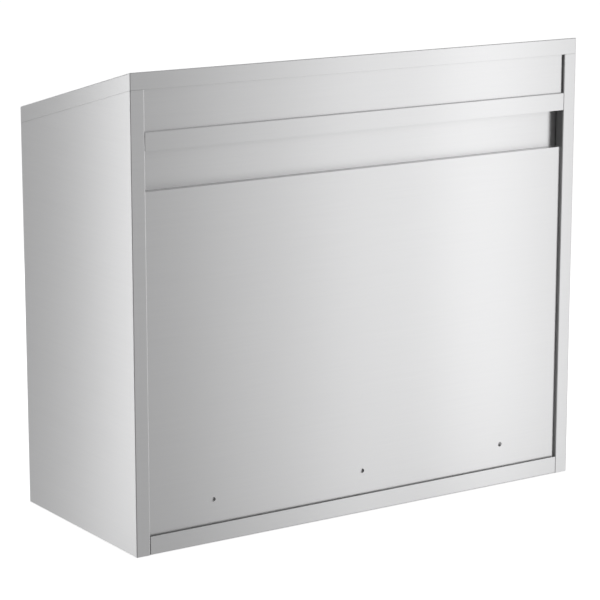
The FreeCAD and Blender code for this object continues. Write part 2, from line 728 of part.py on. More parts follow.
def internal_wiring():
    """Cables from the inlet to the terminal block, the ballasts and the controls."""
    level = ceiling + 9
    routes = [
        [(-424, -inlet_y, inlet_z), (-405, -inlet_y, inlet_z), (-405, -inlet_y, level + 24),
         (-395, -160, level + 24), (-395, -207, level + 6)],
        [(-325, -214, level), (-290, -214, level), (-290, -260, level), (-70, -260, level)],
        [(-325, -206, level), (-300, -206, level), (-300, -150, level), (wire_way_x, -150, level),
         (wire_way_x, wire_way_y, level), (wire_way_x, wire_way_y, ceiling - gauge)],
        [(-325, -218, level + 6), (-308, -218, level + 6), (-308, -290, level + 6),
         (rocker_x - 6, -290, level + 6), (rocker_x - 6, -342, level + 6)],
    ]
    item = doc.addObject("Part::Feature", "internal_wiring")
    cable_radius, bend_radius = 2.2, 9
    item.Shape = Part.makeCompound([cable(points, cable_radius, bend_radius) for points in routes])
    node("internal_wiring", item)


def power_inlet():
    """Three-pin appliance inlet and a fuse holder in the left side panel."""
    y, z, wall = -inlet_y, inlet_z, -half
    flange_y, flange_z, shell_y, shell_z, wall_thick = 25, 13.5, 14, 10, 2
    socket_y, socket_z = shell_y - wall_thick, shell_z - wall_thick
    flange = block((wall - 2.5, y - flange_y, z - flange_z), (wall, y + flange_y, z + flange_z))
    shell = block((wall, y - shell_y, z - shell_z), (wall + 26, y + shell_y, z + shell_z))
    socket = block((wall - 3, y - socket_y, z - socket_z), (wall + 20, y + socket_y, z + socket_z))
    ears = [rod((wall - 3, y + 20 * sign, z), "X", 4, 1.6) for sign in (-1, 1)]
    blades = [block((wall + 5, y + dy - 1, z + dz - 2), (wall + 30, y + dy + 1, z + dz + 2))
              for dy, dz in ((-7, -2), (0, 2), (7, -2))]
    node("power_inlet", fuse(cut(fuse(flange, shell), socket, *ears), *blades))
    y = -fuse_y
    holder = fuse(rod((wall - 2, y, z), "X", 2, 8.5), rod((wall, y, z), "X", 34, 6),
                  rod((wall - 6, y, z), "X", 4.5, 6.5))
    slot_half = 0.6
    slot = block((wall - 7, y - 5, z - slot_half), (wall - 5, y + 5, z + slot_half))
    node("fuse_holder", cut(holder, slot))


def power_rocker():
    """Rocker switch: a framed housing and the paddle that tilts in it."""
    x, z, face = rocker_x, controls_z, -depth
    core_x, core_z, rim, wall_thick = rocker_wide / 2, rocker_tall / 2, 2, 2
    well_x, well_z = core_x - wall_thick, core_z - 2.4
    frame = block((x - core_x - rim, face - rim, z - core_z - rim),
                  (x + core_x + rim, face, z + core_z + rim))
    core = block((x - core_x, face, z - core_z), (x + core_x, face + 24, z + core_z))
    well = block((x - well_x, face - 3, z - well_z), (x + well_x, face + 13, z + well_z))
    tabs = [block((x - 6, face + 24, z + offset - 2.4), (x - 5.2, face + 31, z + offset + 2.4))
            for offset in (-8, 8)]
    node("rocker_housing", cut(fuse(frame, core, *tabs), well))
    body = new_body("power_rocker")
    sketch = new_sketch(body, "YZ_Plane")
    outline(sketch, [(-8.5, -10), (-6.5, 0), (-8.5, 10), (-3, 10.2), (4, 4), (4, -4), (-3, -10.2)])
    pad(body, sketch, 14.4, symmetric=True)
    place(body, (x, face + 4, z), FreeCAD.Rotation(Vector(1, 0, 0), rocker_tilt))


def timer():
    """Clockwork timer behind the fascia, its shaft and its knob."""
    x, z, face = knob_x, controls_z, -depth
    case_half, shaft, case_front = 23, 3, 4
    case = fuse(block((x - case_half, face + case_front, z - case_half),
                      (x + case_half, face + 40, z + case_half)), rod((x, face - 0.5, z), "Y", 6, 5))
    node("timer_body", cut(case, rod((x, face - 2, z), "Y", 22, shaft + 0.05)))
    node("timer_shaft", rod((x, face - 16, z), "Y", 30, shaft))
    grip, base, tall, rib_count, rib = 17, 20, 16, 24, 1.3
    body = new_body("timer_knob")
    sketch = new_sketch(body, "XZ_Plane")
    circle(sketch, 0, 0, grip)
    pad(body, sketch, tall)
    base_ring = new_sketch(body, "XZ_Plane")
    circle(base_ring, 0, 0, base)
    pad(body, base_ring, 3.5)
    bore = new_sketch(body, "XZ_Plane")
    circle(bore, 0, 0, shaft)
    pocket(body, bore, tall - 2.5, reverse=True)
    ribs = new_sketch(body, "XZ_Plane", tall)
    for turn in range(rib_count):
        angle = turn * math.tau / rib_count
        circle(ribs, (grip + 0.6) * math.sin(angle), (grip + 0.6) * math.cos(angle), rib)
    pocket(body, ribs, tall - 3.5)
    line = new_sketch(body, "XZ_Plane", tall)
    rectangle(line, -0.8, 6, 0.8, 15)
    pocket(body, line, 0.8)
    place(body, (x, face - 2.5, z))


def indicator():
    """Lamp in the fascia that is lit while the tubes are on."""
    x, z, face = lamp_x, controls_z, -depth
    bezel = fuse(rod((x, face - 2.2, z), "Y", 2.2, 7.5), rod((x, face, z), "Y", 18, 5))
    node("indicator_bezel", cut(bezel, rod((x, face - 3, z), "Y", 12, 4)))
    body = new_body("indicator_lens")
    sketch = new_sketch(body, "XZ_Plane")
    circle(sketch, 0, 0, 3.9)
    pad(body, sketch, 14)
    doc.recompute()
    top = body.Tip
    rims = [f"Edge{number}" for number, edge in enumerate(top.Shape.Edges, 1)
            if edge.BoundBox.YLength < 1e-4 and edge.CenterOfMass.y < -13]
    dome = body.newObject("PartDesign::Fillet", "dome")
    dome.Base = (top, rims)
    bind(dome, "Radius", 2.6)
    place(body, (x, face + 8.6, z))


def door_switches():
    """Switches that cut the tubes off when a door opens, one behind each door."""
    front, top, plunger = stop_face + 3, ceiling - gauge, 2.4
    cases = []
    for sign in (-1, 1):
        name, _ = hand(sign)
        x = switch_x * sign
        case = block((x - 10, front, catch_level - 8), (x + 10, front + 24, top))
        cases.append(cut(case, rod((x, front - 1, catch_level), "Y", 21, plunger + 0.05)))
        tip = door_depth - depth + 0.3
        node(f"switch_plunger_{name}", rod((x, tip, catch_level), "Y", front + 12 - tip, plunger))
    node("door_switch_cases", *cases)


def magnetic_catches():
    """Two magnetic catches under the chamber's ceiling, one for each door."""
    front, top = door_depth - depth + gauge + 0.7, ceiling - gauge
    nose_half, half_wide = 7, 20
    low = catch_level - nose_half
    catches = []
    for sign in (-1, 1):
        west, east = catch_x * sign - half_wide, catch_x * sign + half_wide
        nose = block((west, front, low), (east, stop_face + 5, catch_level + nose_half))
        catches.append(fuse(nose, block((west, stop_face + 3, low), (east, stop_face + 26, top))))
    node("magnetic_catches", *catches)


# ---- doors --------------------------------------------------------------------------------------
def door(side):
    """One glazed door: a folded skin, a liner, the window and its seal, door seal and handle."""
    name, sign = hand(side)
    hinge_x, free_x = (post - door_gap) * sign, door_gap * sign
    low, high = base_rail + door_gap, fascia_bottom - door_gap
    face, rear = -depth, door_depth - depth
    west, east = (free_x, hinge_x) if sign > 0 else (hinge_x, free_x)
    window = (west + window_margin, low + window_margin, east - window_margin, high - window_margin)
    door_skin(name, (west, low, east, high), window)
    door_liner(name, (west, low, east, high), window)
    door_glazing(name, window)
    door_seal(name, (west, low, east, high), rear)
    door_handle(name, free_x + 28 * sign, face, (low + high) / 2)
    x, half_wide, half_tall = catch_x * sign, 18, 6
    node(f"catch_keeper_{name}", block((x - half_wide, rear, catch_level - half_tall),
                                       (x + half_wide, rear + 1.5, catch_level + half_tall)))


def door_skin(name, frame, window):
    """Front sheet of a door, folded back along its four edges."""
    west, low, east, high = frame
    body = new_body(f"door_skin_{name}")
    sketch = new_sketch(body, "XZ_Plane", depth)
    rectangle(sketch, west, low, east, high)
    pad(body, sketch, door_depth - gauge, reverse=True)
    hollow = new_sketch(body, "XZ_Plane", depth - door_depth - 1)
    rectangle(hollow, west + gauge, low + gauge, east - gauge, high - gauge)
    pocket(body, hollow, door_depth - gauge + 1, reverse=True)
    opening = new_sketch(body, "XZ_Plane", depth + 1)
    rectangle(opening, *window)
    pocket(body, opening, gauge + 2)
    x0, z0, x1, z1 = window
    window_corner = 6
    round_edges(body, window_corner, "Y", [(x0, z0), (x1, z0), (x0, z1), (x1, z1)])
    round_edges(body, bend, "Z", [(west, -depth), (east, -depth)])
    round_edges(body, bend, "X", [(-depth, low), (-depth, high)])


def door_liner(name, frame, window):
    """Flat inner sheet of a door, which closes the folded skin."""
    west, low, east, high = frame
    body = new_body(f"door_liner_{name}")
    sketch = new_sketch(body, "XZ_Plane", depth - door_depth)
    rectangle(sketch, west, low, east, high)
    rectangle(sketch, *window)
    pad(body, sketch, gauge)


def door_glazing(name, window):
    """Tinted pane, and the rubber frame that holds it between skin and liner."""
    x0, z0, x1, z1 = window
    middle = -depth + door_depth / 2
    lap, outer, lip = 6, 10, 4                        # of the pane and of the rubber, round the opening
    node(f"door_window_{name}", block((x0 - lap, middle - glass_thick / 2, z0 - lap),
                                      (x1 + lap, middle + glass_thick / 2, z1 + lap)))
    body = new_body(f"window_seal_{name}")
    sketch = new_sketch(body, "XZ_Plane", depth - gauge)
    rectangle(sketch, x0 - outer, z0 - outer, x1 + outer, z1 + outer)
    rectangle(sketch, x0 + lip, z0 + lip, x1 - lip, z1 - lip)
    pad(body, sketch, door_depth - gauge * 2, reverse=True)
    groove = new_sketch(body, "XZ_Plane", -middle)
    rectangle(groove, x0 - lap, z0 - lap, x1 + lap, z1 + lap)
    pocket(body, groove, glass_thick, symmetric=True)


def door_seal(name, frame, rear):
    """Soft strip round the inner face of a door, which meets the stops."""
    west, low, east, high = frame
    body = new_body(f"door_seal_{name}")
    sketch = new_sketch(body, "XZ_Plane", -rear)
    inset, inner = 1, 7
    rectangle(sketch, west + inset, low + inset, east - inset, high - inset)
    rectangle(sketch, west + inner, low + inner, east - inner, high - inner)
    pad(body, sketch, seal_thick, reverse=True)


def door_handle(name, x, face, middle):
    """Upright pull bent from one rod."""
    body = new_body(f"door_handle_{name}")
    reach, turn, half_long = handle_reach, handle_rod * 2, 80
    low, high = middle - half_long, middle + half_long
    path = new_sketch(body, "YZ_Plane", x)
    out = (face - reach).number
    y0, z0, z1, r = as_size(face).number, low.number, high.number, turn.number
    path.addGeometry(Part.LineSegment(Vector(y0, z0, 0), Vector(out + r, z0, 0)), False)
    path.addGeometry(Part.ArcOfCircle(Part.Circle(Vector(out + r, z0 + r, 0), Vector(0, 0, 1), r),
                                      math.pi, 1.5 * math.pi), False)
    path.addGeometry(Part.LineSegment(Vector(out, z0 + r, 0), Vector(out, z1 - r, 0)), False)
    path.addGeometry(Part.ArcOfCircle(Part.Circle(Vector(out + r, z1 - r, 0), Vector(0, 0, 1), r),
                                      0.5 * math.pi, math.pi), False)
    path.addGeometry(Part.LineSegment(Vector(out + r, z1, 0), Vector(y0, z1, 0)), False)
    for joint in [(0, 2, 1, 2), (1, 1, 2, 1), (2, 2, 3, 2), (3, 1, 4, 1)]:
        path.addConstraint(Sketcher.Constraint("Tangent", *joint))
    constrain(path, "DistanceX", -1, 1, 0, 1, value=face)
    constrain(path, "DistanceY", -1, 1, 0, 1, value=low)
    constrain(path, "DistanceX", -1, 1, 4, 2, value=face)
    constrain(path, "DistanceY", -1, 1, 4, 2, value=high)
    constrain(path, "DistanceX", -1, 1, 2, 1, value=face - reach)
    path.addConstraint(Sketcher.Constraint("Horizontal", 0))
    path.addConstraint(Sketcher.Constraint("Vertical", 2))
    path.addConstraint(Sketcher.Constraint("Horizontal", 4))
    constrain(path, "Radius", 1, value=turn)
    constrain(path, "Radius", 3, value=turn)
    section = new_sketch(body, "XZ_Plane", -face)
    circle(section, x, low, handle_rod)
    pipe = body.newObject("PartDesign::AdditivePipe", "pull")
    pipe.Profile = section
    pipe.Spine = (path, [f"Edge{number}" for number in range(1, 6)])


# ---- hinges and fasteners -----------------------------------------------------------------------
def hinge_leaf(sign, level, moving):
    """One leaf: a plate on the steel, and the barrels that belong to it."""
    x, y = axis_x * sign, axis_y
    outward = -sign if moving else sign
    tall, play = hinge_tall / 3, 0.3
    thirds = [level - hinge_tall / 2 + tall * step for step in range(3)]
    segments = thirds[1:2] if moving else [thirds[0], thirds[2]]
    near, far = x + (barrel + 0.4) * outward, x + 21 * outward
    low_x, high_x = (near, far) if outward > 0 else (far, near)
    pieces = [block((low_x, -depth - leaf_thick, thirds[0]), (high_x, -depth, thirds[0] + hinge_tall))]
    low_x, high_x = (x, near + 1) if outward > 0 else (near - 1, x)
    for bottom in segments:
        start, length = bottom + play / 2, tall - play
        pieces.append(block((low_x, -depth - leaf_thick, start), (high_x, -depth - 0.02, start + length)))
        pieces.append(rod((x, y, start), "Z", length, barrel))
    return cut(fuse(*pieces), rod((x, y, thirds[0] - 1), "Z", hinge_tall + 2, hinge_pin + 0.05))


def screw(x, face, z, radius=3.4, tall=1.9, shank=6):
    """Pan-head screw driven into the steel along +Y."""
    top, slot_half, slot_deep, shank_radius = face - tall, 0.45, 0.8, 1.7
    slot = block((x - radius - 1, top - 1, z - slot_half), (x + radius + 1, top + slot_deep, z + slot_half))
    head = rod((x, top, z), "Y", tall, radius)
    return cut(fuse(head, rod((x, face - 0.1, z), "Y", shank, shank_radius)), slot)


def hinges():
    """Two hinges for each door: leaves, pins and the screws through the leaves."""
    fixed = [hinge_leaf(sign, level, False) for sign in (-1, 1) for level in hinge_levels]
    node("hinge_frame_leaves", *fixed)
    node("hinge_pins", *[rod((axis_x * sign, axis_y, level - hinge_tall / 2), "Z", hinge_tall, hinge_pin)
                         for sign in (-1, 1) for level in hinge_levels])
    face, from_axis, offsets = -depth - leaf_thick, 13, (-22, 22)
    node("hinge_frame_screws", *[screw((axis_x + from_axis) * sign, face, level + dz)
                                 for sign in (-1, 1) for level in hinge_levels for dz in offsets])
    for sign in (-1, 1):
        name, _ = hand(sign)
        node(f"hinge_door_leaves_{name}", *[hinge_leaf(sign, level, True) for level in hinge_levels])
        node(f"hinge_door_screws_{name}", *[screw((axis_x - from_axis) * sign, face, level + dz)
                                            for level in hinge_levels for dz in offsets])


def fascia_screws():
    """Six screws that hold the fascia to the weld nuts behind it."""
    places = [(x, fascia_bottom + dz) for x in (-415, 0, 415) for dz in (12, 72)]
    node("fascia_screws", *[screw(x, -depth, z, radius=4, tall=2.2, shank=7) for x, z in places])


# ---- the cabinet, piece by piece -----------------------------------------------------------------
for side in (-1, 1):
    side_panel(side)
roof_panel()
roof_joint_straps()
bottom_pan()
lower_back_panel()
upper_back_panel()
hanger_channel()
ceiling_panel()
control_fascia()
centre_mullion()
drip_tray()
shelf_pilasters()
shelf_clips()
node("wire_shelves", *[wire_shelf(level) for level in shelf_levels])
lamp_reflector()
tube_set()
lamp_guard()
electrical_compartment()
internal_wiring()
power_inlet()
power_rocker()
timer()
indicator()
door_switches()
magnetic_catches()
for side in (-1, 1):
    door(side)
hinges()
fascia_screws()

# ---- checks and export --------------------------------------------------------------------------
doc.recompute()
for item in doc.Objects:
    if "Invalid" in item.State or "Error" in item.State:
        parents = ", ".join(parent.Label for parent in item.InList)
        raise RuntimeError(f"{item.Label} in {parents} failed: {item.State}")
for name, item in nodes.items():
    if item.Shape.isNull() or not item.Shape.isValid() or not item.Shape.Solids:
        raise RuntimeError(f"{name} has no valid shape")
os.makedirs("parts", exist_ok=True)
for name, item in nodes.items():
    item.Shape.exportStep(f"parts/{name}.step")
print(len(nodes), "nodes written")
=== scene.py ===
import json
import math

import bmesh
import bpy
from mathutils import Matrix, Vector


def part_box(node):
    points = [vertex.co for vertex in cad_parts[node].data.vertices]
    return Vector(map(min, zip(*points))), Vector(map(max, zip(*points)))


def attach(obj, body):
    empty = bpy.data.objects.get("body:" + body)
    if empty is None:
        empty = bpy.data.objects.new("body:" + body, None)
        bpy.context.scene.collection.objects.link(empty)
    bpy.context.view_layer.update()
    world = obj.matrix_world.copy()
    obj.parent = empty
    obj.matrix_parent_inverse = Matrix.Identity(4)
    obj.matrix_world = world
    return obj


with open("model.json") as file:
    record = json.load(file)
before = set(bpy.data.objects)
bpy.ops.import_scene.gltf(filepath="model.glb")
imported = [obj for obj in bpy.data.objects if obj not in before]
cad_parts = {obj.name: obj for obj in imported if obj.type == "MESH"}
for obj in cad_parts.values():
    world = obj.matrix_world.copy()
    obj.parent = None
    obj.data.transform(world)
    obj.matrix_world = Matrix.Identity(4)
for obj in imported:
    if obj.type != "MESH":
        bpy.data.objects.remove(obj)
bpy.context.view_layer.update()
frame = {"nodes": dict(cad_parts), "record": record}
nodes = frame["nodes"]
scene = bpy.context.scene

MM = 0.001
record = frame["record"]
mounts = {mount["name"]: mount for mount in record["mounts"]}
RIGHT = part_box("side_panel_right")[1].x
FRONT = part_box("control_fascia")[0].y

MIDDLE_DEPTH = -0.19          # about half way between the wall plane and the front
LIT_HEIGHT = 0.4              # the height that the softboxes aim at

SURROUNDINGS = 0.40           # brightness of the room, as steel reflects it
DARK_SIDE = 0.04              # and of its dark side
DARK_BEARING = 53             # compass bearing of the dark side, counted from +X towards +Y
DARK_EDGES = (27, 13)         # degrees from that bearing: where the dark begins, and where it is full


# ---- camera and light ---------------------------------------------------------------------------
def look(obj, target):
    """Turns a camera or a lamp towards a point."""
    obj.rotation_mode = "QUATERNION"
    obj.rotation_quaternion = (Vector(target) - obj.location).to_track_quat("-Z", "Y")


def add_camera():
    """The wall side of the cabinet, from beyond its right rear corner and a little above."""
    azimuth, elevation = math.radians(146.37), math.radians(12.44)
    aim, distance = Vector((0.008, MIDDLE_DEPTH, 0.346)), 4.3316
    film_width, focal_length = 36, 145.85
    back = Vector((math.sin(azimuth) * math.cos(elevation), -math.cos(azimuth) * math.cos(elevation),
                   math.sin(elevation)))
    camera = bpy.data.objects.new("camera", bpy.data.cameras.new("camera"))
    camera.data.sensor_width = film_width
    camera.data.lens = focal_length
    camera.location = aim + back * distance
    look(camera, aim)
    scene.collection.objects.link(camera)
    scene.camera = camera


def add_softbox(name, target, bearing, distance, height, size, power):
    """A soft area light at a height, on a compass bearing and at a distance from the point it lights."""
    lamp = bpy.data.lights.new(name, "AREA")
    lamp.shape = "RECTANGLE"
    lamp.size, lamp.size_y = size
    lamp.energy = power
    obj = bpy.data.objects.new(name, lamp)
    bearing = math.radians(bearing)
    obj.location = (target[0] + distance * math.cos(bearing),
                    target[1] + distance * math.sin(bearing), height)
    obj.visible_camera = False
    look(obj, target)
    scene.collection.objects.link(obj)


def add_lights():
    """Upright softboxes that shade each face from dark to bright."""
    targets = {"wall": (0, 0, LIT_HEIGHT), "side": (RIGHT, MIDDLE_DEPTH, LIT_HEIGHT),
               "front": (0, FRONT, LIT_HEIGHT), "left": (-RIGHT, MIDDLE_DEPTH, LIT_HEIGHT)}
    # for each face: bearing in degrees, distance, height, width and height of the box, power in watts
    softboxes = {
        "wall": [(120, 1.6, 0.42, (0.48, 2.5), 1.15), (130, 1.6, 0.42, (0.48, 2.5), 1.27),
                 (140, 1.6, 0.5, (0.48, 2.2), 1.95), (91, 1.9, 0.6, (0.5, 2.0), 1.3)],
        "side": [(-50, 1.5, 0.42, (0.45, 2.0), 2.62), (4, 1.7, 0.6, (0.45, 1.8), 1.6)],
        "front": [(245, 1.8, 0.9, (0.6, 1.6), 5.0), (285, 1.9, 0.6, (0.4, 1.6), 2.0)],
        "left": [(195, 1.5, 0.6, (0.5, 1.8), 2.6), (162, 1.5, 0.6, (0.35, 1.8), 1.6)],
    }
    for face, boxes in softboxes.items():
        for number, placing in enumerate(boxes, 1):
            add_softbox(f"{face}_softbox_{number}", targets[face], *placing)


def add_surroundings():
    """White to look at, and grey with one dark side as steel reflects them."""
    world = bpy.data.worlds.new("studio")
    world.use_nodes = True
    scene.world = world
    tree = world.node_tree
    background = tree.nodes["Background"]
    seen = tree.nodes.new("ShaderNodeLightPath")
    bearing = math.radians(DARK_BEARING)
    flat = node_of(tree, "ShaderNodeVectorMath", operation="MULTIPLY")
    link(tree, node_of(tree, "ShaderNodeTexCoord"), flat.inputs[0], "Generated")
    flat.inputs[1].default_value = (1, 1, 0)
    level = node_of(tree, "ShaderNodeVectorMath", operation="NORMALIZE")
    link(tree, flat, level.inputs[0])
    towards = node_of(tree, "ShaderNodeVectorMath", operation="DOT_PRODUCT")
    link(tree, level, towards.inputs[0])
    towards.inputs[1].default_value = (math.cos(bearing), math.sin(bearing), 0)
    edges = [math.cos(math.radians(edge)) for edge in DARK_EDGES]
    room = spread(tree, towards.outputs["Value"], SURROUNDINGS, DARK_SIDE, *edges, smooth=True)
    strength = node_of(tree, "ShaderNodeMix", data_type="FLOAT")
    link(tree, seen, strength.inputs["Factor"], "Is Camera Ray")
    tree.links.new(room, strength.inputs["A"])
    strength.inputs["B"].default_value = 1.0
    background.inputs["Color"].default_value = (1, 1, 1, 1)
    link(tree, strength, background.inputs["Strength"], "Result")


def add_floor():
    """A wide pale floor just under the cabinet, left out of reflections and shadows."""
    mesh = bpy.data.meshes.new("floor")
    reach, drop = 30, 0.5 * MM
    mesh.from_pydata([(-reach, -reach, 0), (reach, -reach, 0), (reach, reach, 0), (-reach, reach, 0)],
                     [], [(0, 1, 2, 3)])
    floor = bpy.data.objects.new("floor", mesh)
    floor.location.z = -drop
    floor.visible_glossy = False
    floor.visible_shadow = False
    scene.collection.objects.link(floor)
    paper, _, shader = material("floor_paper")
    shader.inputs["Base Color"].default_value = (0.8, 0.8, 0.8, 1)
    shader.inputs["Roughness"].default_value = 0.9
    shader.inputs["Emission Color"].default_value = (1, 1, 1, 1)
    shader.inputs["Emission Strength"].default_value = 0.75
    floor.data.materials.append(paper)
    scene.view_settings.view_transform = "Standard"


# ---- materials ----------------------------------------------------------------------------------
def material(name):
    """A new material, its node tree and its shader."""
    made = bpy.data.materials.new(name)
    made.use_nodes = True
    return made, made.node_tree, made.node_tree.nodes["Principled BSDF"]


def node_of(tree, kind, **values):
    """A shader node with its properties and, by name, its inputs set."""
    made = tree.nodes.new(kind)
    for name, value in values.items():
        if hasattr(made, name):
            setattr(made, name, value)
        else:
            made.inputs[name.replace("_", " ").title()].default_value = value
    return made


def link(tree, source, target, output=0):
    """Joins an output of a node to a socket."""
    tree.links.new(source.outputs[output], target)


def calculate(tree, operation, first, second):
    """A Math node between two sockets or numbers."""
    made = node_of(tree, "ShaderNodeMath", operation=operation)
    for socket, value in zip(made.inputs, (first, second)):
        if isinstance(value, (int, float)):
            socket.default_value = value
        else:
            tree.links.new(value, socket)
    return made.outputs[0]


def spread(tree, value, low, high, first=0.0, last=1.0, smooth=False):
    """A value between first and last, stretched to a range."""
    made = node_of(tree, "ShaderNodeMapRange", interpolation_type="SMOOTHSTEP" if smooth else "LINEAR")
    tree.links.new(value, made.inputs["Value"])
    for name, number in zip(("From Min", "From Max", "To Min", "To Max"), (first, last, low, high)):
        made.inputs[name].default_value = number
    return made.outputs["Result"]


def blend(tree, first, share, second):
    """A share of one value, and the rest of another."""
    return calculate(tree, "ADD", calculate(tree, "MULTIPLY", first, share),
                     calculate(tree, "MULTIPLY", second, 1 - share))


def noise(tree, vector, scale, detail=2.0, roughness=0.5):
    """A cloudy pattern from 0 to 1 over the given coordinates."""
    made = node_of(tree, "ShaderNodeTexNoise")
    made.inputs["Scale"].default_value = scale
    made.inputs["Detail"].default_value = detail
    made.inputs["Roughness"].default_value = roughness
    tree.links.new(vector, made.inputs["Vector"])
    return made.outputs["Fac"]


def object_place(tree):
    """Where a point lies on its object, in metres."""
    return node_of(tree, "ShaderNodeTexCoord").outputs["Object"]


def grain_vector(tree, across):
    """Coordinates for lines that run level on walls and along X on roofs and floors: slow along the lines,
    and quick across them."""
    along, level_slope = 6, 0.7
    place = node_of(tree, "ShaderNodeSeparateXYZ")
    tree.links.new(object_place(tree), place.inputs[0])
    facing = node_of(tree, "ShaderNodeSeparateXYZ")
    link(tree, node_of(tree, "ShaderNodeNewGeometry"), facing.inputs[0], "Normal")
    steepness = calculate(tree, "ABSOLUTE", facing.outputs["Z"], 0.0)
    level = calculate(tree, "GREATER_THAN", steepness, level_slope)
    upright = calculate(tree, "SUBTRACT", 1.0, level)
    quick = calculate(tree, "ADD", calculate(tree, "MULTIPLY", place.outputs["Z"], upright),
                      calculate(tree, "MULTIPLY", place.outputs["Y"], level))
    slow_y = calculate(tree, "MULTIPLY", place.outputs["Y"], upright)
    joined = node_of(tree, "ShaderNodeCombineXYZ")
    values, factors = (place.outputs["X"], slow_y, quick), (along, along, across)
    for socket, value, factor in zip(joined.inputs, values, factors):
        tree.links.new(calculate(tree, "MULTIPLY", value, factor), socket)
    return joined.outputs[0]


def bump(tree, shader, height, distance, strength):
    """Relief from a pattern, whose full height is a distance in metres."""
    made = node_of(tree, "ShaderNodeBump")
    made.inputs["Strength"].default_value = strength
    made.inputs["Distance"].default_value = distance
    tree.links.new(height, made.inputs["Height"])
    link(tree, made, shader.inputs["Normal"])


def shade(tree, colour, factor):
    """A colour darkened or lightened by a patterned factor near 1."""
    made = node_of(tree, "ShaderNodeMix", data_type="RGBA", blend_type="MULTIPLY")
    made.inputs["Factor"].default_value = 1.0
    made.inputs["A"].default_value = (*colour, 1)
    grey = node_of(tree, "ShaderNodeCombineColor")
    for socket in grey.inputs:
        tree.links.new(factor, socket)
    link(tree, grey, made.inputs["B"])
    return made.outputs["Result"]


def brushed_steel(name, colour, roughness, anisotropic, streak):
    """Rolled steel with a fine level grain: streaks in tone, gloss and relief."""
    gloss_change, relief = 0.04, 0.04 * MM
    stretch = (0.02, 0.01, 1.0)   # the way that the grain smears highlights: up and down
    made, tree, shader = material(name)
    fine = noise(tree, grain_vector(tree, 1400), 1.0, 3.0, 0.6)
    broad = noise(tree, grain_vector(tree, 160), 1.0, 3.0, 0.6)
    cloud = noise(tree, object_place(tree), 3.0, 2.0)
    grain = blend(tree, fine, 0.6, broad)
    tone = spread(tree, grain, 1 - streak, 1 + streak)
    tree.links.new(shade(tree, colour, tone), shader.inputs["Base Color"])
    gloss = spread(tree, blend(tree, grain, 0.7, cloud), roughness - gloss_change, roughness + gloss_change)
    tree.links.new(gloss, shader.inputs["Roughness"])
    shader.inputs["Metallic"].default_value = 1.0
    shader.inputs["Anisotropic"].default_value = anisotropic
    upright = node_of(tree, "ShaderNodeCombineXYZ")
    for socket, value in zip(upright.inputs, stretch):
        socket.default_value = value
    link(tree, upright, shader.inputs["Tangent"])
    bump(tree, shader, fine, relief, 0.5)
    return made


def chrome(name):
    """Bright plated wire, slightly wavy."""
    made, tree, shader = material(name)
    cloud = noise(tree, object_place(tree), 60, 3.0)
    shader.inputs["Base Color"].default_value = (0.80, 0.81, 0.82, 1)
    shader.inputs["Metallic"].default_value = 1.0
    tree.links.new(spread(tree, cloud, 0.06, 0.16), shader.inputs["Roughness"])
    bump(tree, shader, noise(tree, object_place(tree), 400, 2.0), 0.08 * MM, 0.3)
    return made


def bright_sheet(name):
    """Polished aluminium with faint roll lines and dents."""
    made, tree, shader = material(name)
    lines = noise(tree, grain_vector(tree, 900), 1.0, 2.0)
    shader.inputs["Metallic"].default_value = 1.0
    tone = spread(tree, lines, 0.96, 1.04)
    tree.links.new(shade(tree, (0.88, 0.89, 0.90), tone), shader.inputs["Base Color"])
    tree.links.new(spread(tree, lines, 0.10, 0.20), shader.inputs["Roughness"])
    bump(tree, shader, noise(tree, object_place(tree), 18, 2.0), 0.6 * MM, 0.25)
    return made


def glass(name, colour, cleanest, dullest):
    """Clear or tinted glass with a trace of dust and wiping marks."""
    made, tree, shader = material(name)
    marks = noise(tree, grain_vector(tree, 30), 1.0, 4.0, 0.7)
    tree.links.new(shade(tree, colour, spread(tree, marks, 0.97, 1.03)), shader.inputs["Base Color"])
    tree.links.new(spread(tree, marks, cleanest, dullest, 0.35, 0.75), shader.inputs["Roughness"])
    shader.inputs["Transmission Weight"].default_value = 1.0
    shader.inputs["IOR"].default_value = 1.46
    return made


def moulded(name, colour, roughness, grain=900, depth=0.05, coat=0.0, metallic=0.0):
    """Plastic, rubber, paint or cast metal: a fine skin texture, its depth in millimetres, and tone and
    gloss that vary a little."""
    gloss_change = 0.07
    made, tree, shader = material(name)
    skin = noise(tree, object_place(tree), grain, 3.0, 0.6)
    cloud = noise(tree, object_place(tree), 22, 3.0)
    tree.links.new(shade(tree, colour, spread(tree, cloud, 0.92, 1.08)), shader.inputs["Base Color"])
    gloss = spread(tree, blend(tree, skin, 0.5, cloud), roughness - gloss_change, roughness + gloss_change)
    tree.links.new(gloss, shader.inputs["Roughness"])
    shader.inputs["Metallic"].default_value = metallic
    shader.inputs["Coat Weight"].default_value = coat
    bump(tree, shader, skin, depth * MM, 0.6)
    return made


def clear_lens(name):
    """Green lens with small facets that scatter the light behind it."""
    made, tree, shader = material(name)
    facets = node_of(tree, "ShaderNodeTexVoronoi")
    facets.inputs["Scale"].default_value = 900
    tree.links.new(object_place(tree), facets.inputs["Vector"])
    tree.links.new(shade(tree, (0.10, 0.60, 0.20), spread(tree, facets.outputs["Distance"], 0.8, 1.1)),
                   shader.inputs["Base Color"])
    tree.links.new(spread(tree, facets.outputs["Distance"], 0.10, 0.22), shader.inputs["Roughness"])
    shader.inputs["Transmission Weight"].default_value = 0.45
    bump(tree, shader, facets.outputs["Distance"], 0.3 * MM, 0.5)
    return made


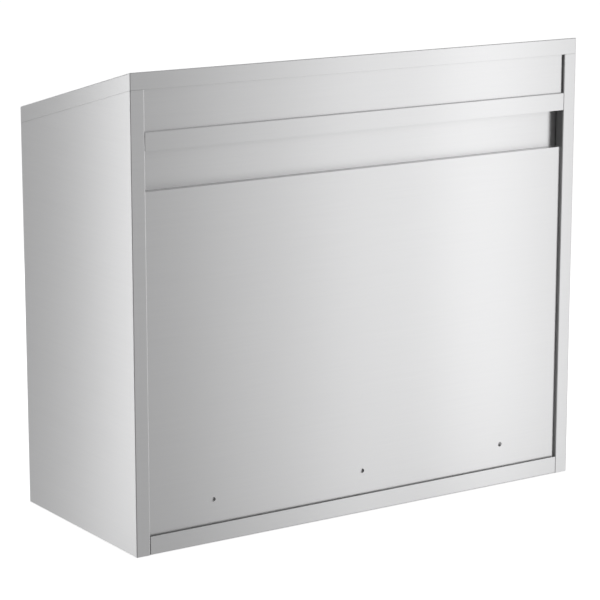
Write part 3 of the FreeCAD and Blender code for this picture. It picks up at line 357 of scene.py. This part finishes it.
def make_finishes():
    """One material for each slot of the record."""
    # colour, roughness, anisotropy and strength of the streaks
    steels = {
        "casing_steel": ((0.80, 0.80, 0.805), 0.30, 0.75, 0.04),
        "inner_steel": ((0.74, 0.74, 0.745), 0.34, 0.4, 0.08),
        "handle_steel": ((0.78, 0.78, 0.785), 0.24, 0.3, 0.05),
        "hinge_steel": ((0.74, 0.74, 0.75), 0.28, 0.4, 0.07),
        "turned_steel": ((0.72, 0.72, 0.73), 0.24, 0.2, 0.09),
        "screw_steel": ((0.68, 0.68, 0.69), 0.27, 0.2, 0.09),
    }
    return {
        **{name: brushed_steel(name, *values) for name, values in steels.items()},
        "shelf_wire": chrome("shelf_wire"),
        "reflector": bright_sheet("reflector"),
        "tube_cap": moulded("tube_cap", (0.72, 0.73, 0.74), 0.32, grain=1500, metallic=1.0),
        "tube_glass": glass("tube_glass", (0.93, 0.95, 0.98), 0.01, 0.05),
        "window_glass": glass("window_glass", (0.52, 0.57, 0.60), 0.0, 0.04),
        "lens": clear_lens("lens"),
        "white_plastic": moulded("white_plastic", (0.78, 0.78, 0.75), 0.45),
        "plunger_plastic": moulded("plunger_plastic", (0.80, 0.80, 0.76), 0.35),
        "black_plastic": moulded("black_plastic", (0.035, 0.035, 0.038), 0.48, grain=700, depth=0.1),
        "knob_plastic": moulded("knob_plastic", (0.040, 0.040, 0.043), 0.42, grain=800, depth=0.08),
        "rocker_plastic": moulded("rocker_plastic", (0.028, 0.028, 0.030), 0.20, depth=0.02, coat=0.4),
        "ballast_paint": moulded("ballast_paint", (0.74, 0.74, 0.73), 0.38, grain=260, depth=0.1, coat=0.2),
        "cable_sheath": moulded("cable_sheath", (0.06, 0.06, 0.065), 0.52, grain=500),
        "seal_rubber": moulded("seal_rubber", (0.030, 0.030, 0.031), 0.68, grain=600, depth=0.15),
    }


# ---- pieces that the CAD leaves out ---------------------------------------------------------------
def add_piece(name, meshes, finish, body):
    """One object from several meshes, which rides on a CAD body and takes a slot's finish."""
    sharpest = math.radians(35)
    joined = bmesh.new()
    for part in meshes:
        joined.from_mesh(part)
        bpy.data.meshes.remove(part)
    mesh = bpy.data.meshes.new(name)
    joined.to_mesh(mesh)
    joined.free()
    mesh.shade_smooth()
    mesh.set_sharp_from_angle(angle=sharpest)
    mesh.materials.append(finishes[finish])
    obj = bpy.data.objects.new(name, mesh)
    scene.collection.objects.link(obj)
    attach(obj, body)
    return obj


# what turns a piece made along Z onto each axis
AXIS_TURNS = {
    "X": Matrix.Rotation(math.radians(90), 4, "Y"),
    "Y": Matrix.Rotation(math.radians(-90), 4, "X"),
    "Z": Matrix.Identity(4),
}


def turned(profile, centre, axis, steps=40):
    """A turned piece: (radius, distance along the axis) points, in millimetres, from axis to axis or round
    a closed ring."""
    ring, weld = profile[0] == profile[-1], MM / 1000
    points, faces = [], []
    rows = profile[:-1] if ring else profile
    for radius, along in rows:
        for step in range(steps):
            angle = step * math.tau / steps
            points.append((radius * MM * math.cos(angle), radius * MM * math.sin(angle), along * MM))
    count = len(rows)
    for row in range(count if ring else count - 1):
        for step in range(steps):
            right = (step + 1) % steps
            above = (row + 1) % count * steps
            faces.append((row * steps + step, row * steps + right, above + right, above + step))
    mesh = bpy.data.meshes.new("turned")
    mesh.from_pydata(points, [], faces)
    work = bmesh.new()
    work.from_mesh(mesh)
    bmesh.ops.remove_doubles(work, verts=work.verts, dist=weld)
    bmesh.ops.recalc_face_normals(work, faces=work.faces)
    work.to_mesh(mesh)
    work.free()
    mesh.transform(Matrix.Translation(centre) @ AXIS_TURNS[axis])
    return mesh


def printed(words, height, spot, turn=None):
    """Letters or numbers printed on a face that looks towards -Y, or on one turned further by a matrix."""
    ink = 0.06 * MM
    curve = bpy.data.curves.new("print", "FONT")
    curve.body = words
    curve.size = height * MM
    curve.extrude = ink
    curve.align_x, curve.align_y = "CENTER", "CENTER"
    holder = bpy.data.objects.new("print", curve)
    mesh = bpy.data.meshes.new_from_object(holder)
    bpy.data.objects.remove(holder)
    upright = Matrix.Rotation(math.radians(90), 4, "X")
    mesh.transform(Matrix.Translation(spot) @ (turn or Matrix.Identity(4)) @ upright)
    return mesh


def bar(size, place):
    """A small bar of the given size in millimetres, with softened edges."""
    softness = 0.2                # of its thinnest side
    work = bmesh.new()
    bmesh.ops.create_cube(work, size=1.0, matrix=Matrix.Diagonal((*[side * MM for side in size], 1)))
    bmesh.ops.bevel(work, geom=work.edges[:], offset=min(size) * softness * MM, segments=2, affect="EDGES")
    mesh = bpy.data.meshes.new("bar")
    work.to_mesh(mesh)
    work.free()
    mesh.transform(place)
    return mesh


def middle(name):
    """The middle of a CAD node's box."""
    low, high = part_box(name)
    return (low + high) / 2


def add_dial():
    """Minute marks and numbers round the timer knob."""
    centre = middle("timer_knob")
    face = FRONT - 0.05 * MM
    hub = Matrix.Translation((centre.x, face, centre.z))
    minutes, travel = 60, 300
    mark_every, number_every = 5, 15
    mark_width, mark_depth, short_mark, long_mark, marks_from = 0.6, 0.1, 2.5, 4.0, 21.5
    number_height, number_reach = 5.5, 30.5 * MM
    marks = []
    for minute in range(0, minutes + 1, mark_every):
        angle = math.radians(travel * minute / minutes)
        numbered = minute % number_every == 0
        long = long_mark if numbered else short_mark
        outwards = Matrix.Translation((0, 0, (marks_from + long / 2) * MM))
        spoke = hub @ Matrix.Rotation(angle, 4, "Y") @ outwards
        marks.append(bar((mark_width, mark_depth, long), spoke))
        if numbered:
            spot = (centre.x + number_reach * math.sin(angle), face,
                    centre.z + number_reach * math.cos(angle))
            marks.append(printed(str(minute), number_height, spot))
    add_piece("dial_print", marks, "black_plastic", "cabinet")


def add_knob_line():
    """The white line let into the face of the timer knob."""
    centre, face = middle("timer_knob"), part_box("timer_knob")[0].y
    size, depth, reach = (1.4, 0.7, 8.8), 0.45 * MM, 10.5 * MM
    place = Matrix.Translation((centre.x, face + depth, centre.z + reach))
    add_piece("knob_line", [bar(size, place)], "white_plastic", "knob")


def add_rocker_marks():
    """An I and an O on the two halves of the power rocker."""
    centre = middle("rocker_housing")
    pivot_depth, face_reach, mark_reach, mark_height = 4 * MM, 7.56 * MM, 5.0 * MM, 4.5
    rest_tilt = 9.0
    half_fall = math.degrees(math.atan2(2.0, 10.0))   # each half slopes 2 mm in 10
    pivot = Vector((centre.x, FRONT + pivot_depth, centre.z))
    tilt = Matrix.Rotation(math.radians(rest_tilt), 4, "X")
    marks = []
    for words, sign in (("I", 1), ("O", -1)):
        spot = pivot + tilt @ Vector((0, -face_reach, mark_reach * sign))
        turn = Matrix.Rotation(math.radians(rest_tilt + half_fall * sign), 4, "X")
        marks.append(printed(words, mark_height, spot, turn))
    add_piece("rocker_print", marks, "white_plastic", "rocker")


def add_hole_caps():
    """Steel cups that close the wall screw holes from inside, so that no UV light leaves through them."""
    hole = mounts["wall_screw_hole_middle"]
    x, y, z = hole["pos_m"]
    sheet_half = hole["dims"]["length_mm"] / 2
    pitch = mounts["wall_screw_holes"]["dims"]["spacing_x_mm"] / 2 * MM
    bore, wall, rim, round_edge, gap = 4.3, 0.8, 8.0, 0.4, 0.05
    for name, step, deep in (("left", -1, 7.0), ("middle", 0, 2.4), ("right", 1, 2.4)):
        profile = [(0, -deep), (bore - round_edge, -deep), (bore, round_edge - deep), (bore, -gap),
                   (rim, -gap), (rim, -wall), (bore + wall, -wall), (bore + wall, -deep - wall),
                   (0, -deep - wall)]
        centre = (x + pitch * step, y - sheet_half * MM, z)
        add_piece(f"hole_cap_{name}", [turned(profile, centre, "Y")], "casing_steel", "cabinet")


def add_inlet_screws():
    """Two slotted screws that hold the appliance inlet."""
    low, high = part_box("power_inlet")
    centre = (low + high) / 2
    offset, steps = 20 * MM, 28
    screw = [(0, -1.3), (1.4, -1.2), (2.4, -0.7), (2.8, 0), (1.4, 0.2), (1.4, 2.0), (0, 2.0)]
    slot, slot_rise = (0.3, 4.6, 0.6), 1.25 * MM
    screws = []
    for sign in (-1, 1):
        spot = (low.x, centre.y + offset * sign, centre.z)
        screws.append(turned(screw, spot, "X", steps))
        screws.append(bar(slot, Matrix.Translation((low.x - slot_rise, spot[1], spot[2]))))
    add_piece("inlet_screws", screws, "screw_steel", "cabinet")


def add_inlet_blades():
    """Metal sleeves on the three pins inside the appliance inlet."""
    low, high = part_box("power_inlet")
    y, z = (low.y + high.y) / 2, (low.z + high.z) / 2
    long, wide, tall, inset = 15.0, 2.3, 4.3, 7.4
    x = low.x + (inset + long / 2) * MM
    sleeves = [bar((long, wide, tall), Matrix.Translation((x, y + across * MM, z + up * MM)))
               for across, up in ((-7, -2), (0, 2), (7, -2))]
    add_piece("inlet_blades", sleeves, "turned_steel", "cabinet")


def add_grommets():
    """Rubber rings in the two holes that the lamp cables go down through."""
    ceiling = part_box("ceiling_panel")[1].z
    row = middle("uv_tubes").y
    section = [(2.6, -2.6), (3.2, -3.4), (8.2, -3.4), (9.0, -2.6), (9.0, -1.3), (6.9, -1.25), (6.9, 0.05),
               (9.0, 0.1), (9.0, 1.4), (8.2, 2.2), (3.2, 2.2), (2.6, 1.4), (2.6, -2.6)]
    reach = 330 * MM
    for name, sign in (("left", -1), ("right", 1)):
        add_piece(f"wire_grommet_{name}", [turned(section, (reach * sign, row, ceiling), "Z")],
                  "seal_rubber", "cabinet")


def coil(tip, y, level):
    """The coiled wire of a cathode, which runs along Y."""
    turns, turn_points, radius, half, thickness = 9, 12, 1.1, 5.0, 0.22
    curve = bpy.data.curves.new("coil", "CURVE")
    curve.dimensions = "3D"
    curve.bevel_depth = thickness * MM
    spline = curve.splines.new("POLY")
    count = turns * turn_points
    spline.points.add(count)
    for number, point in enumerate(spline.points):
        angle = number / turn_points * math.tau
        across = half * (2 * number / count - 1)
        point.co = (tip + radius * MM * math.cos(angle), y + across * MM,
                    level + radius * MM * math.sin(angle), 1)
    holder = bpy.data.objects.new("coil", curve)
    mesh = bpy.data.meshes.new_from_object(holder)
    bpy.data.objects.remove(holder)
    return mesh


def add_cathodes():
    """The coil, its two supports and the glass foot at each end of each tube."""
    low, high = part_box("uv_tubes")
    radius = (high.z - low.z) / 2
    level = (low.z + high.z) / 2
    foot = [(0, 0), (7.0, 0), (6.0, 5), (3.2, 9), (2.6, 16), (0, 17)]
    foot_inset, tip_inset, stay_offset, stay_long, stay_thick = 4.2, 29, 4.5, 9, 0.6
    parts = []
    for y in (low.y + radius, high.y - radius):
        for end, sign in ((low.x, 1), (high.x, -1)):
            side = [(across, along * sign) for across, along in foot]
            parts.append(turned(side, (end + foot_inset * MM * sign, y, level), "X", 24))
            tip = end + tip_inset * MM * sign
            for offset in (-stay_offset, stay_offset):
                stay = Matrix.Translation((tip - stay_long / 2 * MM * sign, y + offset * MM, level))
                parts.append(bar((stay_long, stay_thick, stay_thick), stay))
            parts.append(coil(tip, y, level))
    add_piece("tube_cathodes", parts, "tube_cap", "cabinet")


def add_handle_rings():
    """Turned rings round the feet of the door handles."""
    for side in ("left", "right"):
        low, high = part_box(f"door_handle_{side}")
        centre = (low + high) / 2
        rod = (high.x - low.x) / 2
        section = [(6.05, 0), (6.05, -2.4), (6.6, -3.0), (8.6, -2.4), (9.4, -1.2), (9.5, 0), (6.05, 0)]
        rings = [turned(section, (centre.x, FRONT, level), "Y", 48) for level in (low.z + rod, high.z - rod)]
        add_piece(f"handle_rings_{side}", rings, "handle_steel", f"door_{side}")


# ---- the scene ----------------------------------------------------------------------------------
SOFT_EDGED = ("terminal_block", "ballasts", "lampholders", "starters", "power_inlet", "rocker_housing",
              "power_rocker", "timer_body", "timer_knob", "door_switch_cases", "magnetic_catches",
              "catch_keeper_left", "catch_keeper_right", "hinge_frame_leaves", "hinge_door_leaves_left",
              "hinge_door_leaves_right", "hinge_frame_screws", "hinge_door_screws_left",
              "hinge_door_screws_right", "fascia_screws", "door_window_left", "door_window_right",
              "indicator_bezel", "fuse_holder", "shelf_clips")


def soften(obj):
    """Small round edges, which catch the light."""
    radius, sharpest = 0.25 * MM, math.radians(50)
    edge = obj.modifiers.new("soft_edges", "BEVEL")
    edge.width = radius
    edge.segments = 2
    edge.limit_method = "ANGLE"
    edge.angle_limit = sharpest
    edge.harden_normals = True


finishes = make_finishes()
for subpart in record["subparts"]:
    item = nodes[subpart["node"]]
    item.data.materials.clear()
    item.data.materials.append(finishes[subpart["material_slot"]])
for name in SOFT_EDGED:
    soften(nodes[name])
add_dial()
add_knob_line()
add_rocker_marks()
add_hole_caps()
add_inlet_screws()
add_inlet_blades()
add_grommets()
add_cathodes()
add_handle_rings()

add_camera()
add_lights()
add_surroundings()
add_floor()
